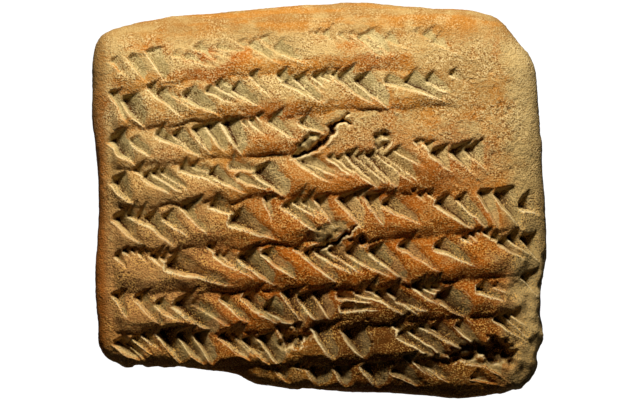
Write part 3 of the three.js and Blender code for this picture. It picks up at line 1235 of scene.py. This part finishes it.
@dataclass(frozen=True)
class ClayFinish:
    """Dry clay: orange-brown on the raised skin, pale tan where the stylus opened it."""

    name: str = "dry clay"
    ochre: Paint = paint(208, 137, 50)
    russet: Paint = paint(180, 98, 20)
    straw: Paint = paint(212, 181, 120)
    khaki: Paint = paint(212, 196, 140)
    olive: Paint = paint(174, 158, 106)
    tan: Paint = paint(166, 124, 66)
    amber: Paint = paint(198, 132, 52)
    rust: Paint = paint(182, 92, 8)
    # dark brown, for dark grit and for painted shade in strokes, grooves, ridge lees and dark
    # patches
    dirt: Paint = paint(60, 29, 4)
    umber: Paint = paint(112, 64, 20)
    # pale, for light grit and for the painted highlight on the crests
    cream: Paint = paint(246, 222, 168)
    gold: Paint = paint(240, 182, 84)
    roughness: float = 0.9
    bands: Bands = Bands()
    skin_stains: tuple[StainOrShadePatch, ...] = (
        StainOrShadePatch(9, 3, 17, 8, 0.6, rust),
        StainOrShadePatch(-22, -4, 16, 25, 0.45, straw),
        # painted shade over the lowest rows
        StainOrShadePatch(9, -18, 21, 12, 0.8, dirt),
        StainOrShadePatch(27, -12, 6, 12, 0.6, straw),
        StainOrShadePatch(17, 14.5, 8, 6, 0.6, tan),
        # painted shade at the heads of a row
        StainOrShadePatch(10, 2.5, 8, 5, 0.3, dirt),
    )
    opened_stains: tuple[StainOrShadePatch, ...] = (
        StainOrShadePatch(9, 3, 17, 8, 0.25, amber),
        # painted shade over the lowest rows
        StainOrShadePatch(9, -18, 21, 12, 0.55, dirt),
    )

    def make(self) -> bpy.types.Material:
        """Mixes the clay's colours, grain and roughness, with painted shade in the strokes, grooves
        and ridge lees and a painted highlight on the crests.
        """
        clay = Recipe(self.name)
        guide = ClayGuide(clay, self.bands)
        # Fresh clay shows where the stylus opened it, as far as it isn't dusted over.
        bare = (guide.bared + (guide.fine - 0.5) * 1.2).ramp(0.3, 0.7)
        clean = 1 - guide.low * (1 - guide.patchy).ramp(0.45, 0.55) * 0.6
        fresh = bare * (guide.pressed.ramp(0, 0.6) * 0.35 + 0.65) * clean
        colour = clay.mix(fresh, self._skin(clay, guide), self._opened(clay, guide))
        # Cream on the crests: partly wear, partly painted highlight, fullest on crests that face the
        # key light.
        wear_and_painted_highlight = guide.crest.ramp(0.1, 0.6) * (guide.patchy.ramp(0.35, 0.6) * 0.5 + 0.45)
        colour = clay.mix(wear_and_painted_highlight, colour, self.cream)
        # Painted shade: dark brown deep in the strokes and along grooves, and on the ridges' lee
        # slopes in the lower rows.
        painted_recess_shade = guide.pressed.ramp(0.55, 1.3) * 0.75 + (0 - guide.crest).ramp(0.1, 0.8) * 0.55
        painted_lee_shade = guide.sheltered * guide.low * guide.patchy.ramp(0.35, 0.6) * 0.5
        colour = clay.mix((painted_recess_shade + painted_lee_shade).held(), colour, self.dirt)
        return clay.finish(
            Base_Color=self._gritted(clay, guide, colour),
            Roughness=(guide.fine * 0.2 + (self.roughness - 0.1)).held(),
            Specular_IOR_Level=0.1,
            Normal=clay.bump(guide.fine * 0.3 + guide.sandy * 0.6, 0.3, 0.8),
        )

    def _skin(self, clay: Recipe, guide: ClayGuide) -> Wire:
        """Colours the skin that the stylus left alone.

        Args:
            clay: The recipe.
            guide: What the colours go by.

        Returns:
            Orange clay under pale dust, rustier below, greyer at the right, streaked at the top,
            with less dust on the ridges' lee slopes and dark patches as painted shade.
        """
        skin = clay.mix(guide.broad.ramp(0.35, 0.65), self.ochre, self.russet)
        skin = clay.mix(guide.low * 0.85, skin, self.rust)
        right = (guide.x + (guide.patchy - 0.5) * 8).ramp(*self.bands.right_to_olive)
        skin = clay.mix(right * 0.75, skin, self.olive)
        pale = guide.y.ramp(*self.bands.up_to_dusty) * guide.patchy.ramp(0.25, 0.55)
        pale = pale + guide.patchy.ramp(0.5, 0.7) * 0.3
        rubbed = guide.y.ramp(*self.bands.up_to_rubbed) * guide.streaky.ramp(0.35, 0.6)
        # Less dust on the ridges' lee slopes is painted shade; less on the rubbed top is wear.
        dust = pale * ((1 - guide.sheltered * 0.75) * (1 - rubbed * 0.8))
        dust = dust + (guide.fine - 0.5) * 0.9 + (guide.sandy - 0.5) * 1.6
        skin = clay.mix(dust.held() * 0.9, skin, self.straw)
        skin = clay.mix(guide.y.ramp(*self.bands.up_to_tan) * 0.7, skin, self.tan)
        top = guide.y.ramp(*self.bands.up_to_streaked)
        skin = clay.mix(top * guide.streaky.ramp(0.45, 0.62) * 0.55, skin, self.ochre)
        skin = clay.mix(top * guide.patchy.ramp(0.5, 0.65) * 0.5, skin, self.straw)
        for tint_patch in self.skin_stains:
            skin = tint_patch.over(clay, skin)
        strip = clay.mix(guide.y.ramp(*self.bands.up_the_strip), self.russet, self.tan)
        return clay.mix((0 - guide.x).ramp(*self.bands.left_to_strip) * 0.8, skin, strip)

    def _opened(self, clay: Recipe, guide: ClayGuide) -> Wire:
        """Colours the clay inside the strokes and hollows.

        Args:
            clay: The recipe.
            guide: What the colours go by.

        Returns:
            Pale greenish tan, a little warmer below, with its stains and painted shade over the
            lowest rows.
        """
        opened = clay.mix(guide.patchy.ramp(0.35, 0.65), self.khaki, self.olive)
        opened = clay.mix(guide.warm * 0.1 + 0.12, opened, self.amber)
        for tint_patch in self.opened_stains:
            opened = tint_patch.over(clay, opened)
        return opened

    def _gritted(self, clay: Recipe, guide: ClayGuide, colour: Wire) -> Wire:
        """Strews pale and dark grit over a colour, less of it at the left and upper edges.

        Args:
            clay: The recipe.
            guide: What the grit goes by.
            colour: What it lies on.

        Returns:
            The colour with the grit.
        """
        gritty = guide.gritty.ramp(0.42, 0.6) * 0.6 + 0.35
        gritty = gritty * (1 - (0 - guide.x).ramp(*self.bands.left_to_smooth) * 0.7)
        gritty = gritty * (1 - guide.y.ramp(*self.bands.up_to_smooth) * 0.45)
        glint = clay.mix(guide.warm * 0.8 + 0.1, self.cream, self.gold)
        grime = clay.mix(guide.low, self.umber, self.dirt)
        colour = clay.mix(guide.sandy.ramp(0.53, 0.64) * gritty * 0.85, colour, glint)
        return clay.mix((1 - guide.sandy).ramp(0.52, 0.65) * gritty * 0.9, colour, grime)


@dataclass(frozen=True)
class FloorFinish:
    """A plain pale floor."""

    name: str = "pale floor"
    colour: Paint = paint(240, 240, 240)

    def make(self) -> bpy.types.Material:
        """Mixes the floor's paint."""
        floor = Recipe(self.name)
        return floor.finish(Base_Color=self.colour, Roughness=0.9, Specular_IOR_Level=0.1)


# ---- The tablet -----------------------------------------------------------------------------


@dataclass
class Tablet:
    """The whole tablet, one lump of clay."""

    MOST_PARTS = 12  # that the second round of cuts divides an edge into
    STRAIGHT = 0.99  # share of an edge's length that runs along its axis
    SMOOTHING = 0.5  # how far a round of smoothing moves a point to the middle of its neighbours

    lump: Lump = field(default_factory=Lump)
    handling: Handling = field(default_factory=Handling)
    ridges: Ridges = field(default_factory=Ridges)
    inscription: Inscription = field(default_factory=Inscription)
    damage: Damage = field(default_factory=Damage)
    cell: float = 0.5  # width of the first cells, before the face is divided further
    spread: float = 1.3  # how much wider they are in the middle than an even grid's
    halved_above: tuple[float, ...] = (0.0, 0.75)  # on the cube; higher cells are halved again
    softening: int = 2  # rounds of smoothing that take the sharpness off the strokes
    crest_rounds: int = 4  # rounds that show by how far a crest or a groove stands out
    crest_height: float = 0.07  # of a full crest
    crest_least: float = 0.3  # how much of the painted highlight a crest keeps where it faces down, away from the key light
    crest_facing: Pair = (-0.25, 0.25)  # the normal's part along Y, from facing down, away from the key light, to facing up towards it
    most_triangles: int = 192000

    def build(self) -> bpy.types.Object:
        """Models the tablet and dresses it."""
        piece = self._blank()
        mesh = piece.data
        cube = self._read(mesh.vertices, "co")
        cube = cube * (self.spread - (self.spread - 1) * cube**2)
        self._write(mesh, self.lump.shape(cube))
        places = self._read(mesh.vertices, "co")
        skin = Skin(places, self._read(mesh.vertex_normals, "vector"), self.lump)
        self.handling.knead(skin)
        self.ridges.heap(skin)
        log.info("pressed %d strokes", self.inscription.press(skin))
        self.damage.cut(skin)
        self._write(mesh, skin.points())
        self._smooth(piece, self.softening)
        self._paint_relief(piece, skin)
        self._lighten(piece)
        self._write(mesh, self._read(mesh.vertices, "co") * MM)
        bpy.ops.object.shade_smooth()
        mesh.materials.append(ClayFinish().make())
        return piece

    def _blank(self) -> bpy.types.Object:
        """Divides a cube into a grid, finest on its upper face."""
        bpy.ops.object.select_all(action="DESELECT")
        bpy.ops.mesh.primitive_cube_add(size=2)
        piece = bpy.context.object
        piece.name = piece.data.name = "Clay_Tablet"
        bpy.ops.object.mode_set(mode="EDIT")
        bpy.ops.mesh.select_mode(type="EDGE")
        for axis, length in enumerate((self.lump.width, self.lump.height, self.lump.thickness)):
            self._divide(piece, axis, round(length / self.cell))
        bpy.ops.mesh.select_mode(type="FACE")
        for lowest in self.halved_above:
            self._select(piece, "faces", partial(self._is_above, lowest))
            bpy.ops.mesh.subdivide(number_cuts=1)
        bpy.ops.object.mode_set(mode="OBJECT")
        return piece

    def _divide(self, piece: bpy.types.Object, axis: int, parts: int) -> None:
        """Divides the edges along an axis, in two rounds of cuts.

        Args:
            piece: The cube.
            axis: The number of the axis.
            parts: How many parts to divide each edge into.
        """
        second = max(n for n in range(1, self.MOST_PARTS + 1) if parts % n == 0)
        for count in (parts // second, second):
            if count > 1:
                self._select(piece, "edges", partial(self._runs_along, axis))
                bpy.ops.mesh.subdivide(number_cuts=count - 1)

    def _runs_along(self, axis: int, edge: bmesh.types.BMEdge) -> bool:
        """Tells whether an edge runs along an axis."""
        run = edge.verts[1].co - edge.verts[0].co
        return abs(run[axis]) > self.STRAIGHT * run.length

    @staticmethod
    def _is_above(height: float, face: bmesh.types.BMFace) -> bool:
        """Tells whether a face's middle is above a height."""
        return face.calc_center_median().z > height

    @staticmethod
    def _select(piece: bpy.types.Object, kind: str, wanted: Callable[..., bool]) -> None:
        """Selects some edges or faces and nothing else.

        Args:
            piece: The object being edited.
            kind: Either "edges" or "faces".
            wanted: Tells of each of them whether to select it.
        """
        bpy.ops.mesh.select_all(action="DESELECT")
        form = bmesh.from_edit_mesh(piece.data)
        for item in getattr(form, kind):
            item.select_set(wanted(item))
        bmesh.update_edit_mesh(piece.data)

    @staticmethod
    def _read(items: bpy.types.bpy_prop_collection, name: str) -> np.ndarray:
        """Reads a vector of every item.

        Args:
            items: A mesh's vertices or their normals.
            name: The vector's name.

        Returns:
            The vectors, one a row.
        """
        values = np.empty(len(items) * 3)
        items.foreach_get(name, values)
        return values.reshape(-1, 3)

    @staticmethod
    def _write(mesh: bpy.types.Mesh, places: np.ndarray) -> None:
        """Moves every vertex."""
        mesh.vertices.foreach_set("co", places.ravel())
        mesh.update()

    def _smooth(self, piece: bpy.types.Object, rounds: int) -> None:
        """Evens out the mesh.

        Args:
            piece: The object to smooth.
            rounds: How many times to smooth it.
        """
        modifier = piece.modifiers.new("smooth", "SMOOTH")
        modifier.factor = self.SMOOTHING
        modifier.iterations = rounds
        bpy.ops.object.modifier_apply(modifier=modifier.name)

    def _paint_relief(self, piece: bpy.types.Object, skin: Skin) -> None:
        """Adds the grain, and stores on the mesh what the material reads.

        Args:
            piece: The tablet, after softening.
            skin: The skin that it was made from.
        """
        mesh = piece.data
        before = self._read(mesh.vertices, "co")
        self._smooth(piece, self.crest_rounds)
        after = self._read(mesh.vertices, "co")
        crest = np.einsum("ij,ij->i", before - after, skin.normals) / self.crest_height
        skin.places = before
        skin.swell[:] = 0
        self.handling.roughen(skin)
        self._write(mesh, skin.points())
        # Crests that face the key light keep their full painted highlight; the others keep a share
        # of it.
        facing_key_light = step(*self.crest_facing, self._read(mesh.vertex_normals, "vector")[:, 1])
        painted_highlight_facing = self.crest_least + (1 - self.crest_least) * facing_key_light
        crest *= np.where(crest > 0, painted_highlight_facing, 1)
        painted = {
            "pressed": skin.pressed,
            "bared": skin.bared,
            "sheltered": skin.sheltered,
            "crest": np.clip(crest, -1, 1),
        }
        for name, values in painted.items():
            layer = mesh.attributes.new(name, "FLOAT", "POINT")
            layer.data.foreach_set("value", values.astype(np.float32))

    def _lighten(self, piece: bpy.types.Object) -> None:
        """Takes out the triangles that flat clay doesn't need.

        Args:
            piece: The tablet.
        """
        count = sum(len(polygon.vertices) - 2 for polygon in piece.data.polygons)
        modifier = piece.modifiers.new("lighten", "DECIMATE")
        modifier.ratio = min(1.0, self.most_triangles / count)
        bpy.ops.object.modifier_apply(modifier=modifier.name)
        log.info("%d triangles before, %d after", count, len(piece.data.polygons))


# ---- The studio -----------------------------------------------------------------------------


@dataclass(frozen=True)
class Lamp:
    """A round lamp that points at the tablet; lengths in metres, angles in degrees."""

    name: str
    azimuth: float  # from +X, anticlockwise
    height: float  # angle above the floor
    distance: float
    size: float
    power: float
    colour: tuple[float, float, float] = (1.0, 1.0, 1.0)

    def hang(self, thing: bpy.types.Object) -> bpy.types.Object:
        """Hangs the lamp so that it lights one thing only.

        Args:
            thing: What it lights.

        Returns:
            The lamp.
        """
        turn, rise = math.radians(self.azimuth), math.radians(self.height)
        level = math.cos(rise)
        place = self.distance * Vector(
            (math.cos(turn) * level, math.sin(turn) * level, math.sin(rise))
        )
        bpy.ops.object.light_add(type="AREA", location=place)
        lamp = bpy.context.object
        lamp.name = self.name
        lamp.data.shape = "DISK"
        lamp.data.size = self.size
        lamp.data.energy = self.power
        lamp.data.color = self.colour
        lamp.rotation_euler = place.to_track_quat("Z", "Y").to_euler()
        lamp.visible_camera = False
        group = bpy.data.collections.new(f"lit by {self.name}")
        group.objects.link(thing)
        lamp.light_linking.receiver_collection = group
        return lamp


@dataclass
class Studio:
    """A pale floor, a raking key light over the upper edge and weak light from the sides."""

    floor_size: float = 4.0  # metres
    key: Lamp = Lamp("key", 90.0, 41.0, 0.18, 0.036, 0.385, (1.0, 0.95, 0.84))
    side: Lamp = Lamp("side", 0.0, 8.0, 0.5, 0.2, 0.03)  # low, so it hardly enters the strokes
    side_azimuths: tuple[float, ...] = (-150.0, -90.0, -30.0)
    overhead: Lamp = Lamp("overhead", 0.0, 90.0, 0.9, 0.8, 12.0)  # for the floor alone
    sky: float = 0.002  # strength of the light from all round
    lens: float = 200.0
    view_width: float = 78.94  # millimetres across the picture
    view_level: float = 15.0  # height that this width is measured at, where the outline shows
    aim: Pair = (0.04, 0.12)  # millimetres from the middle, along X and Y

    def build(self, piece: bpy.types.Object) -> None:
        """Sets up the floor, the lights and the camera.

        Args:
            piece: The tablet, which has the key and side lights to itself.
        """
        bpy.context.scene.view_settings.view_transform = "Standard"
        self._dim_room()
        floor = self._floor()
        self.key.hang(piece)
        for number, azimuth in enumerate(self.side_azimuths):
            replace(self.side, name=f"side {number}", azimuth=azimuth).hang(piece)
        overhead = self.overhead.hang(floor)
        overhead.light_linking.blocker_collection = overhead.light_linking.receiver_collection
        floor.visible_diffuse = False
        self._camera()

    def _dim_room(self) -> None:
        """Surrounds the scene with a very weak white light."""
        world = bpy.data.worlds.new("dim room")
        world.use_nodes = True
        background = world.node_tree.nodes["Background"]
        background.inputs["Color"].default_value = (1, 1, 1, 1)
        background.inputs["Strength"].default_value = self.sky
        bpy.context.scene.world = world

    def _floor(self) -> bpy.types.Object:
        """Lays the floor."""
        bpy.ops.object.select_all(action="DESELECT")
        bpy.ops.mesh.primitive_plane_add(size=self.floor_size)
        floor = bpy.context.object
        floor.name = "Floor"
        floor.data.materials.append(FloorFinish().make())
        return floor

    def _camera(self) -> None:
        """Looks straight down on the face."""
        x, y = (value * MM for value in self.aim)
        bpy.ops.object.camera_add(location=(x, y, 0.0), rotation=(0, 0, 0))
        camera = bpy.context.object
        camera.data.lens = self.lens
        distance = self.view_width * MM * self.lens / camera.data.sensor_width
        camera.location.z = self.view_level * MM + distance
        bpy.context.scene.camera = camera


def main() -> None:
    """Builds the tablet and the studio round it."""
    logging.basicConfig(level=logging.INFO, format="%(name)s: %(message)s")
    piece = Tablet().build()
    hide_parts("tablet")
    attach(piece, "root")
    log.info("made %s", piece.name)
    Studio().build(piece)


if __name__ == "__main__":
    main()
